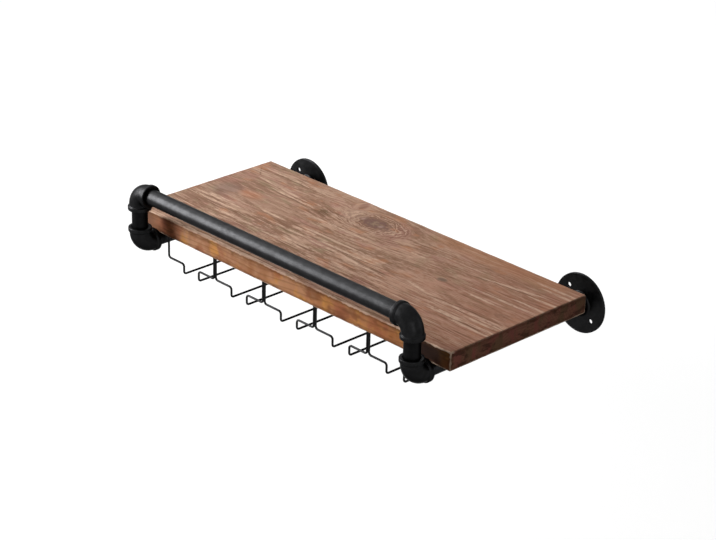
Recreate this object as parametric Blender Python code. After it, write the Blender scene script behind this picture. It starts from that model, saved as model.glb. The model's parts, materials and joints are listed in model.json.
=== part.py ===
"""Wall wine rack: a plank shelf on two black pipe brackets, with a pipe rail along its front
and five bent-wire holders under the board, in which wine glasses hang by their feet.

Sizes are in metres. +X runs along the board, +Y points into the wall and +Z is up. The origin
lies on the wall plane, midway between the centres of the two wall flanges.
"""

from math import cos, pi, radians, sin, tau

import bmesh
import bpy
from mathutils import Vector

# Clearances
SEAT_GAP = 0.0003  # between pieces that bear on each other
SCREW_CLEARANCE = 0.0005  # around a screw in a metal hole
PILOT_CLEARANCE = 0.0002  # around a screw in the board, and beyond its tip

# Board
BOARD_LENGTH = 0.600
BOARD_DEPTH = 0.2485
BOARD_THICKNESS = 0.026
BOARD_EDGE_EASE = 0.0016
BOARD_WALL_GAP = 0.0395  # from the wall to the back edge

# Pipes
PIPE_DIAMETER = 0.022
PIPE_WALL = 0.0028
SUPPORT_INSET = 0.040  # from the end of the board to a support pipe's axis
SUPPORT_WALL_SETBACK = 0.003  # from the wall to a support pipe's rear end
RISER_EXPOSED = 0.0252  # riser nipple between the faces of its two elbows

# Elbows
ELBOW_REACH = 0.0255  # from the crossing of the two axes to an end face
ELBOW_BODY_DIAMETER = 0.0287
ELBOW_BAND_DIAMETER = 0.0322
ELBOW_BAND_WIDTH = 0.007
ELBOW_BAND_EASE = 0.0012
ELBOW_BORE = 0.016
ELBOW_SOCKET_DEPTH = 0.012

# Wall flanges
FLANGE_DIAMETER = 0.0825
FLANGE_THICKNESS = 0.0034
FLANGE_EDGE_EASE = 0.0008
FLANGE_HUB_DIAMETER = 0.0315
FLANGE_HUB_HEIGHT = 0.0165  # from the wall
FLANGE_HUB_FILLET = 0.003
FLANGE_HOLE_DIAMETER = 0.0065
FLANGE_HOLE_CIRCLE = 0.056
FLANGE_HOLE_ANGLES = (radians(135), radians(-45))

# Pipe straps
STRAP_THICKNESS = 0.0016
STRAP_WIDTH = 0.016
STRAP_BEND = 0.003
STRAP_FOOT = 0.0125  # flat part of a foot
STRAP_INSET = 0.070  # from the front or back edge of the board

# Glass holders
HOLDER_COUNT = 5
HOLDER_END_GAP = 0.00325  # from an outer leg to the support pipe beside it
HOLDER_NEIGHBOUR_GAP = 0.0005  # between the legs of two neighbours
HOLDER_FRONT_INSET = 0.0115  # leg axis behind the front edge of the board
HOLDER_REAR_INSET = 0.014  # riser axis before the back edge of the board
HOLDER_LEG_DROP = 0.0375  # underside of the board to the axis of the front bridge
HOLDER_LIP_DROP = 0.0145  # front bridge down to the rails
HOLDER_SLOT_WIDTH = 0.028  # clear width between the two rails
HOLDER_FOOT_RUN = 0.010  # leg axis back to the middle of its screw eye
WIRE_DIAMETER = 0.003
WIRE_BEND = 0.004
WIRE_EYE_TURN = radians(280)

# Rear clips of the glass holders
CLIP_THICKNESS = 0.0012
CLIP_WIDTH = 0.010
CLIP_BEND = 0.0008
CLIP_FOOT = 0.011

# Screws
SCREW_DIAMETER = 0.004
SCREW_LENGTH = 0.016
SCREW_TIP = 0.003
SCREW_POINT_DIAMETER = 0.0007  # at the end of the tip
SCREW_HEAD_DIAMETER = 0.008
SCREW_HEAD_HEIGHT = 0.0024
SCREW_CROWN_DIAMETER = 0.0048  # flat middle of the head

# Facets
ROUND_SIDES = 18
FLANGE_SIDES = 24
HOLE_SIDES = 12
SCREW_SIDES = 8
ELBOW_STEPS = 5
BEND_STEPS = 3
CLIP_STEPS = 5
EYE_STEPS = 7
SHARP_EDGE = radians(35)  # a sharper angle than this stays a visible edge

# Heights and depths that follow from the sizes above
BOARD_UNDERSIDE = PIPE_DIAMETER / 2 + SEAT_GAP
BOARD_BACK = -BOARD_WALL_GAP
BOARD_FRONT = BOARD_BACK - BOARD_DEPTH
SUPPORT_X = BOARD_LENGTH / 2 - SUPPORT_INSET
SOCKET_RADIUS = PIPE_DIAMETER / 2 + SEAT_GAP
ELBOW_Y = BOARD_FRONT - SEAT_GAP - ELBOW_REACH
ELBOW_TO_PIPE_END = ELBOW_REACH - ELBOW_SOCKET_DEPTH + SEAT_GAP
RAIL_Z = 2 * ELBOW_REACH + RISER_EXPOSED
HOLDER_ROW = 2 * (SUPPORT_X - PIPE_DIAMETER / 2 - HOLDER_END_GAP)
HOLDER_PITCH = (HOLDER_ROW + HOLDER_NEIGHBOUR_GAP) / HOLDER_COUNT
HOLDER_FRONT = BOARD_FRONT + HOLDER_FRONT_INSET
HOLDER_REAR = BOARD_BACK - HOLDER_REAR_INSET
WIRE_SEAT_Z = BOARD_UNDERSIDE - SEAT_GAP - WIRE_DIAMETER / 2
LEG_X = (HOLDER_PITCH - HOLDER_NEIGHBOUR_GAP - WIRE_DIAMETER) / 2
EYE_RADIUS = SCREW_DIAMETER / 2 + SCREW_CLEARANCE + WIRE_DIAMETER / 2
SCREW_HOLE_RADIUS = SCREW_DIAMETER / 2 + SCREW_CLEARANCE


def make_material(name, colour, roughness, metallic):
    made = bpy.data.materials.new(name)
    made.use_nodes = True
    shader = made.node_tree.nodes["Principled BSDF"]
    shader.inputs["Base Color"].default_value = (*colour, 1)
    shader.inputs["Roughness"].default_value = roughness
    shader.inputs["Metallic"].default_value = metallic
    return made


def place(obj, material, parent, location=(0, 0, 0), rotation=(0, 0, 0)):
    """Links the object into the scene, in its parent's frame."""
    bpy.context.scene.collection.objects.link(obj)
    obj.parent = parent
    obj.location = location
    obj.rotation_euler = rotation
    if material:
        obj.data.materials.append(material)
    return obj


def empty(name, parent=None, location=(0, 0, 0)):
    return place(bpy.data.objects.new(name, None), None, parent, location)


def solid(name, bm):
    """A mesh object from a bmesh, faces outwards, smooth except at its real edges."""
    bmesh.ops.recalc_face_normals(bm, faces=bm.faces)
    if bm.calc_volume(signed=True) < 0:
        bmesh.ops.reverse_faces(bm, faces=bm.faces)
    mesh = bpy.data.meshes.new(name)
    bm.to_mesh(mesh)
    bm.free()
    mesh.shade_smooth()
    mesh.set_sharp_from_angle(angle=SHARP_EDGE)
    return bpy.data.objects.new(name, mesh)


def loft(rings, closed=False):
    """Skins rings of equal point count. A closed loft joins its last ring to its first, and
    an open one has flat ends."""
    bm = bmesh.new()
    loops = [[bm.verts.new(point) for point in ring] for ring in rings]
    pairs = list(zip(loops, loops[1:]))
    if closed:
        pairs.append((loops[-1], loops[0]))
    else:
        bm.faces.new(loops[0])
        bm.faces.new(loops[-1])
    for one, other in pairs:
        for i in range(len(one)):
            bm.faces.new((one[i - 1], one[i], other[i], other[i - 1]))
    return bm


def turned(profile, sides, closed=False):
    """Turns a profile of (radius, height) points about the local Z axis."""
    angles = [tau * i / sides for i in range(sides)]
    rings = [[(r * cos(a), r * sin(a), z) for a in angles] for r, z in profile]
    return loft(rings, closed)


def arc(centre, radius, start, stop, steps):
    """Points (across, up) on an arc from angle start to angle stop."""
    angles = [start + (stop - start) * i / steps for i in range(steps + 1)]
    return [(centre[0] + radius * cos(a), centre[1] + radius * sin(a)) for a in angles]


def bent_strip(path, thickness, width):
    """Sheet metal bent along a path in the local XZ plane, with its width along local Y."""
    rings = []
    for i, (x, z) in enumerate(path):
        before = Vector(path[max(i - 1, 0)])
        after = Vector(path[min(i + 1, len(path) - 1)])
        across = (after - before).orthogonal().normalized() * thickness / 2
        corners = ((1, -1), (1, 1), (-1, 1), (-1, -1))
        rings.append([(x + s * across.x, t * width / 2, z + s * across.y) for s, t in corners])
    return loft(rings)


def drill(obj, places, radius, low, high, sides):
    """Cuts holes along the object's local Z axis, at places (x, y), from low to high."""
    bm = bmesh.new()
    angles = [tau * i / sides for i in range(sides)]
    for x, y in places:
        ring = [(x + radius * cos(a), y + radius * sin(a)) for a in angles]
        floor = bm.faces.new([bm.verts.new((*point, low)) for point in ring])
        roof = bm.faces.new([bm.verts.new((*point, high)) for point in ring])
        bmesh.ops.bridge_loops(bm, edges=[*floor.edges, *roof.edges])
    cutter = solid(obj.name + "_holes", bm)
    cutter.hide_render = True
    cutter.display_type = "WIRE"
    place(cutter, None, obj)
    cut = obj.modifiers.new("holes", "BOOLEAN")
    cut.operation = "DIFFERENCE"
    cut.solver = "EXACT"
    cut.object = cutter


def pipe(name, length):
    """A pipe along local Z from the origin."""
    outer = PIPE_DIAMETER / 2
    inner = outer - PIPE_WALL
    profile = [(inner, 0), (outer, 0), (outer, length), (inner, length)]
    return solid(name, turned(profile, ROUND_SIDES, closed=True))


def elbow(name):
    """A cast elbow with a banded socket along local +Z and another along local +X. Its axes
    cross at the origin."""

    def ring(x, z, lean, radius):
        """A ring about the point (x, 0, z), whose plane leans by an angle from level."""
        across = Vector((cos(lean), 0, sin(lean))) * radius
        side = Vector((0, radius, 0))
        turns = [tau * i / ROUND_SIDES for i in range(ROUND_SIDES)]
        return [Vector((x, 0, z)) + across * cos(a) + side * sin(a) for a in turns]

    def leg(stations, lean):
        """Rings across one leg, at (distance from the crossing, radius) stations."""
        return [ring(d * sin(lean), d * cos(lean), lean, radius) for d, radius in stations]

    def bend(bend_radius, radius):
        """Rings round the bend, from the +Z leg to the +X leg."""
        leans = [pi / 2 * i / ELBOW_STEPS for i in range(ELBOW_STEPS + 1)]
        return [
            ring(bend_radius * (1 - cos(a)), bend_radius * (1 - sin(a)), a, radius)
            for a in leans
        ]

    band = ELBOW_BAND_DIAMETER / 2
    shoulder = ELBOW_REACH - ELBOW_BAND_WIDTH
    bands = [
        (ELBOW_REACH, band - ELBOW_BAND_EASE),
        (ELBOW_REACH - ELBOW_BAND_EASE, band),
        (shoulder + ELBOW_BAND_EASE, band),
    ]
    socket_end = ELBOW_REACH - ELBOW_SOCKET_DEPTH
    sockets = [(ELBOW_REACH, SOCKET_RADIUS), (socket_end, SOCKET_RADIUS)]
    outside = leg(bands, 0) + bend(shoulder, ELBOW_BODY_DIAMETER / 2) + leg(bands[::-1], pi / 2)
    inside = leg(sockets, 0) + bend(socket_end, ELBOW_BORE / 2) + leg(sockets[::-1], pi / 2)
    return solid(name, loft(outside + inside[::-1], closed=True))


def wall_flange(name):
    """A round flange with its back at the origin and its hub along local +Z."""
    rim = FLANGE_DIAMETER / 2
    hub = FLANGE_HUB_DIAMETER / 2
    ease = FLANGE_EDGE_EASE
    fillet = arc(
        (hub + FLANGE_HUB_FILLET, FLANGE_THICKNESS + FLANGE_HUB_FILLET),
        FLANGE_HUB_FILLET,
        -pi / 2,
        -pi,
        BEND_STEPS,
    )
    profile = [
        (SOCKET_RADIUS, 0),
        (rim, 0),
        (rim, FLANGE_THICKNESS - ease),
        (rim - ease, FLANGE_THICKNESS),
        *fillet,
        (hub, FLANGE_HUB_HEIGHT - ease),
        (hub - ease, FLANGE_HUB_HEIGHT),
        (SOCKET_RADIUS, FLANGE_HUB_HEIGHT),
    ]
    flange = solid(name, turned(profile, FLANGE_SIDES, closed=True))
    reach = FLANGE_HOLE_CIRCLE / 2
    places = [(reach * cos(a), reach * sin(a)) for a in FLANGE_HOLE_ANGLES]
    drill(flange, places, FLANGE_HOLE_DIAMETER / 2, -FLANGE_THICKNESS, 2 * FLANGE_THICKNESS, HOLE_SIDES)
    return flange


def strap_screw_offset():
    """From the pipe's axis to the middle of a strap's foot."""
    return SOCKET_RADIUS + STRAP_THICKNESS / 2 + STRAP_BEND + STRAP_FOOT / 2


def pipe_strap(name):
    """A two-footed strap round the underside of a pipe, whose axis is local Y."""
    wrap = SOCKET_RADIUS + STRAP_THICKNESS / 2
    foot_z = BOARD_UNDERSIDE - SEAT_GAP - STRAP_THICKNESS / 2
    bend_x = wrap + STRAP_BEND
    bend_z = foot_z - STRAP_BEND
    end_x = bend_x + STRAP_FOOT
    path = [
        (-end_x, foot_z),
        *arc((-bend_x, bend_z), STRAP_BEND, pi / 2, 0, BEND_STEPS),
        *arc((0, 0), wrap, pi, tau, ROUND_SIDES // 2),
        *arc((bend_x, bend_z), STRAP_BEND, pi, pi / 2, BEND_STEPS),
        (end_x, foot_z),
    ]
    strap = solid(name, bent_strip(path, STRAP_THICKNESS, STRAP_WIDTH))
    places = [(strap_screw_offset(), 0), (-strap_screw_offset(), 0)]
    drill(strap, places, SCREW_HOLE_RADIUS, bend_z, BOARD_UNDERSIDE, SCREW_SIDES)
    return strap


def clip_screw_offset():
    """From the axis of the wire to the middle of a clip's foot."""
    return (WIRE_DIAMETER + CLIP_THICKNESS) / 2 + SEAT_GAP + CLIP_BEND + CLIP_FOOT / 2


def rear_clip(name):
    """A one-footed clip round the underside of a wire, whose axis is local Y at the origin. The
    foot lies along local -X."""
    wrap = (WIRE_DIAMETER + CLIP_THICKNESS) / 2 + SEAT_GAP
    seat_z = WIRE_DIAMETER / 2
    foot_z = seat_z - CLIP_THICKNESS / 2
    bend_x = wrap + CLIP_BEND
    path = [
        (-bend_x - CLIP_FOOT, foot_z),
        *arc((-bend_x, foot_z - CLIP_BEND), CLIP_BEND, pi / 2, 0, BEND_STEPS),
        *arc((0, 0), wrap, pi, tau, CLIP_STEPS),
        (wrap, seat_z),
    ]
    clip = solid(name, bent_strip(path, CLIP_THICKNESS, CLIP_WIDTH))
    low = seat_z - 2 * CLIP_THICKNESS
    high = seat_z + CLIP_THICKNESS
    drill(clip, [(-clip_screw_offset(), 0)], SCREW_HOLE_RADIUS, low, high, SCREW_SIDES)
    return clip


def screw(name):
    """A pan-head wood screw along local +Z, with the bearing face of its head at the origin."""
    shank = SCREW_DIAMETER / 2
    head = SCREW_HEAD_DIAMETER / 2
    profile = [
        (SCREW_CROWN_DIAMETER / 2, -SCREW_HEAD_HEIGHT),
        (head, -SCREW_HEAD_HEIGHT / 2),
        (head, 0),
        (shank, 0),
        (shank, SCREW_LENGTH - SCREW_TIP),
        (SCREW_POINT_DIAMETER / 2, SCREW_LENGTH),
    ]
    return solid(name, turned(profile, SCREW_SIDES))


def rounded_route(corners):
    """A route through right-angled corners, each rounded to the wire's bend radius."""
    route = [corners[0]]
    for before, corner, after in zip(corners, corners[1:], corners[2:]):
        arriving = (corner - before).normalized() * WIRE_BEND
        leaving = (after - corner).normalized() * WIRE_BEND
        centre = corner - arriving + leaving
        for i in range(BEND_STEPS + 1):
            turn = pi / 2 * i / BEND_STEPS
            route.append(centre + arriving * sin(turn) - leaving * cos(turn))
    return route + [corners[-1]]


def holder_route():
    """The axis of one holder's wire, about the middle of the holder, in the object's X, Y and Z.
    It runs from the right eye to the middle of the rear bar."""
    rail_x = (HOLDER_SLOT_WIDTH + WIRE_DIAMETER) / 2
    bridge_z = BOARD_UNDERSIDE - HOLDER_LEG_DROP
    rail_z = bridge_z - HOLDER_LIP_DROP
    eye_y = HOLDER_FRONT + HOLDER_FOOT_RUN
    eye = [
        Vector((x, y, WIRE_SEAT_Z))
        for x, y in arc((LEG_X - EYE_RADIUS, eye_y), EYE_RADIUS, WIRE_EYE_TURN, 0, EYE_STEPS)
    ]
    corners = [
        eye[-1],
        Vector((LEG_X, HOLDER_FRONT, WIRE_SEAT_Z)),
        Vector((LEG_X, HOLDER_FRONT, bridge_z)),
        Vector((rail_x, HOLDER_FRONT, bridge_z)),
        Vector((rail_x, HOLDER_FRONT, rail_z)),
        Vector((rail_x, HOLDER_REAR, rail_z)),
        Vector((rail_x, HOLDER_REAR, WIRE_SEAT_Z)),
        Vector((0, HOLDER_REAR, WIRE_SEAT_Z)),
    ]
    return eye[:-1] + rounded_route(corners)


def glass_holder(name):
    """One length of wire, bent alike on both sides of its middle."""
    half = holder_route()
    route = half + [Vector((-point.x, point.y, point.z)) for point in half[-2::-1]]
    wire = bpy.data.curves.new(name, "CURVE")
    wire.dimensions = "3D"
    wire.bevel_depth = WIRE_DIAMETER / 2
    wire.bevel_resolution = 2
    wire.use_fill_caps = True
    line = wire.splines.new("POLY")
    line.points.add(len(route) - 1)
    for point, at in zip(line.points, route):
        point.co = (*at, 1)
    return bpy.data.objects.new(name, wire)


def board(name):
    bm = bmesh.new()
    bmesh.ops.create_cube(bm, size=1)
    bmesh.ops.scale(bm, vec=(BOARD_LENGTH, BOARD_DEPTH, BOARD_THICKNESS), verts=bm.verts)
    plank = solid(name, bm)
    ease = plank.modifiers.new("eased_edges", "BEVEL")
    ease.width = BOARD_EDGE_EASE
    ease.segments = 2
    ease.limit_method = "NONE"
    return plank


def screw_places():
    """Every screw's name, and the place of its head's bearing face, in the object's frame."""
    places = {}
    strap_z = BOARD_UNDERSIDE - STRAP_THICKNESS - 2 * SEAT_GAP
    for side, x in (("left", -SUPPORT_X), ("right", SUPPORT_X)):
        for end, y in strap_depths():
            for edge, way in (("left", -1), ("right", 1)):
                name = f"{side}_{end}_strap_{edge}_screw"
                places[name] = (x + way * strap_screw_offset(), y, strap_z)
    eye_z = WIRE_SEAT_Z - WIRE_DIAMETER / 2 - SEAT_GAP
    eye_y = HOLDER_FRONT + HOLDER_FOOT_RUN
    clip_z = BOARD_UNDERSIDE - CLIP_THICKNESS - 2 * SEAT_GAP
    clip_y = HOLDER_REAR - clip_screw_offset()
    for number, x in holder_middles():
        places[f"glass_holder_{number}_left_screw"] = (x - LEG_X + EYE_RADIUS, eye_y, eye_z)
        places[f"glass_holder_{number}_right_screw"] = (x + LEG_X - EYE_RADIUS, eye_y, eye_z)
        places[f"glass_holder_{number}_clip_screw"] = (x, clip_y, clip_z)
    return places


def strap_depths():
    return (("front", BOARD_FRONT + STRAP_INSET), ("rear", BOARD_BACK - STRAP_INSET))


def holder_middles():
    """The number of each glass holder, from the left, and its middle along the board."""
    return [(i + 1, (i - (HOLDER_COUNT - 1) / 2) * HOLDER_PITCH) for i in range(HOLDER_COUNT)]


def build_board(root, wood):
    """The plank, with a pilot hole above each screw."""
    middle = (0, (BOARD_FRONT + BOARD_BACK) / 2, BOARD_UNDERSIDE + BOARD_THICKNESS / 2)
    plank = place(board("shelf_board"), wood, root, middle)
    seats = screw_places().values()
    tip = max(z for x, y, z in seats) + SCREW_LENGTH + PILOT_CLEARANCE
    places = [(x, y - middle[1]) for x, y, z in seats]
    radius = SCREW_DIAMETER / 2 + PILOT_CLEARANCE
    drill(plank, places, radius, -BOARD_THICKNESS, tip - middle[2], SCREW_SIDES)


def build_bracket(root, side, x, towards_rail, iron, tube, steel):
    """A wall flange, a support pipe, a riser between two elbows, and the straps on the pipe."""
    bracket = empty(f"{side}_bracket", root, (x, 0, 0))
    place(wall_flange(f"{side}_wall_flange"), iron, bracket, rotation=(pi / 2, 0, 0))
    front_end = ELBOW_Y + ELBOW_TO_PIPE_END
    support = pipe(f"{side}_support_pipe", -SUPPORT_WALL_SETBACK - front_end)
    place(support, tube, bracket, (0, front_end, 0), (-pi / 2, 0, 0))
    place(elbow(f"{side}_lower_elbow"), iron, bracket, (0, ELBOW_Y, 0), (0, 0, pi / 2))
    riser = pipe(f"{side}_riser_nipple", RAIL_Z - 2 * ELBOW_TO_PIPE_END)
    place(riser, tube, bracket, (0, ELBOW_Y, ELBOW_TO_PIPE_END))
    over = (pi, 0, 0) if towards_rail > 0 else (0, pi, 0)
    place(elbow(f"{side}_upper_elbow"), iron, bracket, (0, ELBOW_Y, RAIL_Z), over)
    for end, y in strap_depths():
        place(pipe_strap(f"{side}_{end}_pipe_strap"), steel, bracket, (0, y, 0))


def build_rail(root, tube):
    half = SUPPORT_X - ELBOW_TO_PIPE_END
    place(pipe("front_rail", 2 * half), tube, root, (-half, ELBOW_Y, RAIL_Z), (0, pi / 2, 0))


def build_holders(root, wire, steel):
    for number, x in holder_middles():
        place(glass_holder(f"glass_holder_{number}"), wire, root, (x, 0, 0))
        clip = rear_clip(f"glass_holder_{number}_rear_clip")
        place(clip, steel, root, (x, HOLDER_REAR, WIRE_SEAT_Z), (0, 0, pi / 2))


def build_screws(root, steel):
    for name, seat in screw_places().items():
        place(screw(name), steel, root, seat)


def main():
    for old in list(bpy.data.objects):
        bpy.data.objects.remove(old, do_unlink=True)
    wood = make_material("limed_brown_wood", (0.30, 0.17, 0.11), 0.65, 0.0)
    iron = make_material("black_iron", (0.018, 0.018, 0.019), 0.5, 0.6)
    tube = make_material("black_pipe", (0.022, 0.022, 0.023), 0.38, 0.7)
    wire = make_material("black_wire", (0.014, 0.014, 0.015), 0.40, 0.6)
    steel = make_material("blackened_steel", (0.03, 0.03, 0.032), 0.45, 0.8)
    root = empty("wine_rack")
    build_board(root, wood)
    build_bracket(root, "left", -SUPPORT_X, 1, iron, tube, steel)
    build_bracket(root, "right", SUPPORT_X, -1, iron, tube, steel)
    build_rail(root, tube)
    build_holders(root, wire, steel)
    build_screws(root, steel)


main()
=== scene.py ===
"""Looks of the wall wine rack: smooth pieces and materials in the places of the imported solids, with
a plain studio round them and a camera at the photograph's angle.

Sizes are in metres. +X runs along the board, +Y points into the wall and +Z is up. The origin lies
on the wall plane, midway between the two wall flanges.
"""

import json
from itertools import product
from math import cos, pi, radians, sin, tau
from types import SimpleNamespace

import bmesh
import bpy
from mathutils import Euler, Matrix, Vector, noise

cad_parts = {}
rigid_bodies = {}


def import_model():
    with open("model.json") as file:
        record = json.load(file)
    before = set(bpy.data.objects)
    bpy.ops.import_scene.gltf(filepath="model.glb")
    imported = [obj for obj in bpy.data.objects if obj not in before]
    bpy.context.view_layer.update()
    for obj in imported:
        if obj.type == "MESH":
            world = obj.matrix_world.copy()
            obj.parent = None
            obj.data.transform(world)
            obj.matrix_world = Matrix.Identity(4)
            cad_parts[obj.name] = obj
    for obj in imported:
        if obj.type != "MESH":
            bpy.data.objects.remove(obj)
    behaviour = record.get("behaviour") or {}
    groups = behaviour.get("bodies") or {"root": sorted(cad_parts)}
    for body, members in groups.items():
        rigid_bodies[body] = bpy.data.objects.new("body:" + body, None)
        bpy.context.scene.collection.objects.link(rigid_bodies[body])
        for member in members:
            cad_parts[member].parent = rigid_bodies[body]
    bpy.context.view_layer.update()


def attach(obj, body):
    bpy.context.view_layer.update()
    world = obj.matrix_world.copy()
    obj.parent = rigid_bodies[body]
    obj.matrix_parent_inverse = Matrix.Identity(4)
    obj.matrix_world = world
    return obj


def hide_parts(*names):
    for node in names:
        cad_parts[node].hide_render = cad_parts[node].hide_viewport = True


for old in list(bpy.data.objects):
    bpy.data.objects.remove(old, do_unlink=True)
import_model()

# Sizes of the solids, as in the part's source
SEAT_GAP = 0.0003
SCREW_CLEARANCE = 0.0005
PILOT_CLEARANCE = 0.0002

BOARD_LENGTH = 0.600
BOARD_DEPTH = 0.2485
BOARD_THICKNESS = 0.026
BOARD_WALL_GAP = 0.0395

PIPE_DIAMETER = 0.022
PIPE_WALL = 0.0028
SUPPORT_INSET = 0.040
SUPPORT_WALL_SETBACK = 0.003
RISER_EXPOSED = 0.0252

ELBOW_REACH = 0.0255
ELBOW_BODY_DIAMETER = 0.0287
ELBOW_BAND_DIAMETER = 0.0322
ELBOW_BAND_WIDTH = 0.007
ELBOW_BORE = 0.016
ELBOW_SOCKET_DEPTH = 0.012

FLANGE_DIAMETER = 0.0825
FLANGE_THICKNESS = 0.0034
FLANGE_HUB_DIAMETER = 0.0315
FLANGE_HUB_HEIGHT = 0.0165
FLANGE_HUB_FILLET = 0.003
FLANGE_HOLE_DIAMETER = 0.0065
FLANGE_HOLE_CIRCLE = 0.056
FLANGE_HOLE_ANGLES = (radians(135), radians(-45))

STRAP_THICKNESS = 0.0016
STRAP_WIDTH = 0.016
STRAP_BEND = 0.003
STRAP_FOOT = 0.0125
STRAP_INSET = 0.070

HOLDER_COUNT = 5
HOLDER_END_GAP = 0.00325
HOLDER_NEIGHBOUR_GAP = 0.0005
HOLDER_FRONT_INSET = 0.0115
HOLDER_REAR_INSET = 0.014
HOLDER_LEG_DROP = 0.0375
HOLDER_LIP_DROP = 0.0145
HOLDER_SLOT_WIDTH = 0.028
HOLDER_FOOT_RUN = 0.010
WIRE_DIAMETER = 0.003
WIRE_BEND = 0.004
WIRE_EYE_TURN = radians(280)

CLIP_THICKNESS = 0.0012
CLIP_WIDTH = 0.010
CLIP_BEND = 0.0008
CLIP_FOOT = 0.011

SCREW_DIAMETER = 0.004
SCREW_LENGTH = 0.016
SCREW_TIP = 0.003
SCREW_POINT_DIAMETER = 0.0007
SCREW_HEAD_DIAMETER = 0.008
SCREW_HEAD_HEIGHT = 0.0024

# Finer forms of the visible pieces
BOARD_EDGE_RADIUS = 0.0020  # mean radius of the worn edges
BOARD_EDGE_WEAR = 0.0007  # how far that radius wanders
BOARD_EDGE_LEAST = 0.0008  # the smallest that it gets
BOARD_WEAR_WAVES = ((26, 1), (90, 0.8), (240, 0.5))  # noise cells to the metre, and their weight
BOARD_EDGE_STATIONS = (0, 0.0004, 0.0008, 0.0012, 0.0017, 0.0023, 0.0031, 0.0045)  # from a face
BOARD_GRID = 0.006  # between grid lines, away from the edges
PIPE_CHAMFER = 0.0006
ELBOW_FACE_ROUND = 0.0012
ELBOW_SHOULDER_RUN = 0.0018
ELBOW_MOUTH_CHAMFER = 0.0008
FLANGE_EDGE_ROUND = 0.0009
FLANGE_BACK_CHAMFER = FLANGE_EDGE_ROUND / 3
FLANGE_HOLE_CHAMFER = 0.0005
STRIP_EDGE_ROUND = 0.0004
RECESS_LENGTH = 0.0042
RECESS_WIDTH = 0.0010
RECESS_DEPTH = 0.0014
RECESS_FLOOR_SHARE = 0.6  # length at the recess's floor, as a share of its length
RECESS_TOP_SHARE = 1.5  # the same, well outside the head
SCREW_TURN = radians(49)  # from one screw's recess to the next one's

# Fineness of the meshes
ROUND_SIDES = 72
FLANGE_SIDES = 128
HOLE_SIDES = 40
SCREW_SIDES = 32
ELBOW_STEPS = 26
SHOULDER_STEPS = 10
BEND_STEPS = 10
WRAP_STEPS = 36
EYE_STEPS = 44
DOME_STEPS = 9
EDGE_STEPS = 6
STRIP_EDGE_STEPS = 3
WIRE_BEVEL_STEPS = 5
SHARP_EDGE = radians(38)  # faces that meet at a larger angle keep a hard edge

# Places that follow from the sizes
BOARD_UNDERSIDE = PIPE_DIAMETER / 2 + SEAT_GAP
BOARD_BACK = -BOARD_WALL_GAP
BOARD_FRONT = BOARD_BACK - BOARD_DEPTH
BOARD_MIDDLE = Vector((0, (BOARD_FRONT + BOARD_BACK) / 2, BOARD_UNDERSIDE + BOARD_THICKNESS / 2))
SUPPORT_X = BOARD_LENGTH / 2 - SUPPORT_INSET
SOCKET_RADIUS = PIPE_DIAMETER / 2 + SEAT_GAP
ELBOW_Y = BOARD_FRONT - SEAT_GAP - ELBOW_REACH
ELBOW_TO_PIPE_END = ELBOW_REACH - ELBOW_SOCKET_DEPTH + SEAT_GAP
RAIL_Z = 2 * ELBOW_REACH + RISER_EXPOSED
HOLDER_ROW = 2 * (SUPPORT_X - PIPE_DIAMETER / 2 - HOLDER_END_GAP)
HOLDER_PITCH = (HOLDER_ROW + HOLDER_NEIGHBOUR_GAP) / HOLDER_COUNT
HOLDER_FRONT = BOARD_FRONT + HOLDER_FRONT_INSET
HOLDER_REAR = BOARD_BACK - HOLDER_REAR_INSET
EYE_Y = HOLDER_FRONT + HOLDER_FOOT_RUN
WIRE_SEAT_Z = BOARD_UNDERSIDE - SEAT_GAP - WIRE_DIAMETER / 2
LEG_X = (HOLDER_PITCH - HOLDER_NEIGHBOUR_GAP - WIRE_DIAMETER) / 2
SCREW_HOLE_RADIUS = SCREW_DIAMETER / 2 + SCREW_CLEARANCE
EYE_RADIUS = SCREW_HOLE_RADIUS + WIRE_DIAMETER / 2
STRAP_SCREW_OFFSET = SOCKET_RADIUS + STRAP_THICKNESS / 2 + STRAP_BEND + STRAP_FOOT / 2
CLIP_WRAP = (WIRE_DIAMETER + CLIP_THICKNESS) / 2 + SEAT_GAP
CLIP_SCREW_OFFSET = CLIP_WRAP + CLIP_BEND + CLIP_FOOT / 2

# Figure of the plank, in millimetres from its middle with the wall at the top
BOARD_HALVES = [size * 500 for size in (BOARD_LENGTH, BOARD_DEPTH, BOARD_THICKNESS)]  # half sizes
MAIN_KNOT = (-37, 79)
SMALL_KNOT = (-91, 108)
PIN_KNOT = (147, 18)
TONGUE_TIP = 163  # where the cathedral figure starts, to open towards the right end
PITH_Y = -1
PITH_DEPTH = 60
PITH_TILT = 0.038
RING_WIDTH = 3.9
GRAIN_SWAY = 16
GRAIN_RIPPLE = 3.5
STROKE_SWAY = 3
STROKE_RIPPLE = 4
PALE_HALF_WIDTH = 1.9  # of a pale stroke
DARK_HALF_WIDTH = 1.6

# Spots on the plank: centre, half length and half width
MAIN_KNOT_SPOT = (MAIN_KNOT, 31, 15)
SMALL_KNOT_SPOT = (SMALL_KNOT, 8, 13)
PIN_KNOT_SPOT = (PIN_KNOT, 8, 5)
PARTED_GRAIN = ((MAIN_KNOT, 50, 27), (SMALL_KNOT, 10, 12), (PIN_KNOT, 6, 4))
PALE_KNOT_SPOTS = (((-61, 79), 5, 6), ((-25, 77), 5, 6))
GREY_PATCH = ((-262, 8), 26, 26)
ORANGE_PATCH = ((-222, 18), 24, 13)
DARK_MARK = ((-113, 53), 18, 11)
CALM_PATCH = ((-165, 22), 58, 26)
LIVELY_PATCH = ((-67, 45), 95, 30)

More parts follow.
